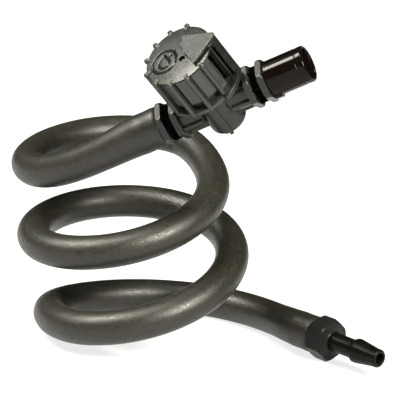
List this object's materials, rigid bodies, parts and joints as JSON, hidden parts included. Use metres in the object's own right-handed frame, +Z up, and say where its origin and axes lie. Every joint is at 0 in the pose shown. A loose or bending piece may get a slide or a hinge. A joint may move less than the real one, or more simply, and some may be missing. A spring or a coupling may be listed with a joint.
{
  "type": "coiled drip irrigation hose with valve",
  "caption": "Self-supporting spiral micro-irrigation hose with a hex barb fitting on one end and a small regulating valve with a ribbed pointer knob and a push-in socket on the other.",
  "frame": {"origin": "middle of the assembly's footprint, on the surface that it stands on", "axes": "+Z up, +X towards the supply fitting and the socket, along the longest side; the valve is on the -Y side"},
  "size_m": [0.0811, 0.0609, 0.0694],
  "materials": {
    "hose": "satin charcoal flexible tube with a fine mottle",
    "fitting": "dark green-grey moulded plastic, half gloss",
    "valve_plastic": "dark grey moulded plastic, matte",
    "knob_plastic": "dark grey moulded plastic, matte sides and a half-gloss top",
    "pointer_plastic": "grey moulded plastic, half gloss",
    "socket_plastic": "brown-black gloss",
    "plug_plastic": "grey acetal, smooth",
    "washer_plastic": "pale nylon",
    "ring_metal": "stainless spring steel",
    "seal": "black rubber"
  },
  "bodies": {
    "hose_and_valve": {"spiral_hose": "hose", "supply_barb": "fitting", "inlet_tail": "valve_plastic", "inlet_oring": "seal", "inlet_lock_ring": "valve_plastic", "valve_body": "valve_plastic", "thrust_washer": "washer_plastic", "retaining_ring": "ring_metal", "outlet_lock_ring": "valve_plastic", "outlet_oring": "seal", "outlet_tail": "valve_plastic", "flow_insert": "plug_plastic", "outlet_seal": "seal", "outlet_socket": "socket_plastic"},
    "knob": {"valve_plug": "plug_plastic", "plug_oring_lower": "seal", "plug_oring_upper": "seal", "knob_cap": "knob_plastic", "pointer_lever": "pointer_plastic"}
  },
  "joints": [
    {"name": "knob_turn", "type": "hinge", "parent": "hose_and_valve", "child": "knob", "pos_m": [0.0016, -0.01565, 0.0539], "axis": [-0.5363, -0.5218, 0.6634], "range_deg": [-90, 0]}
  ]
}
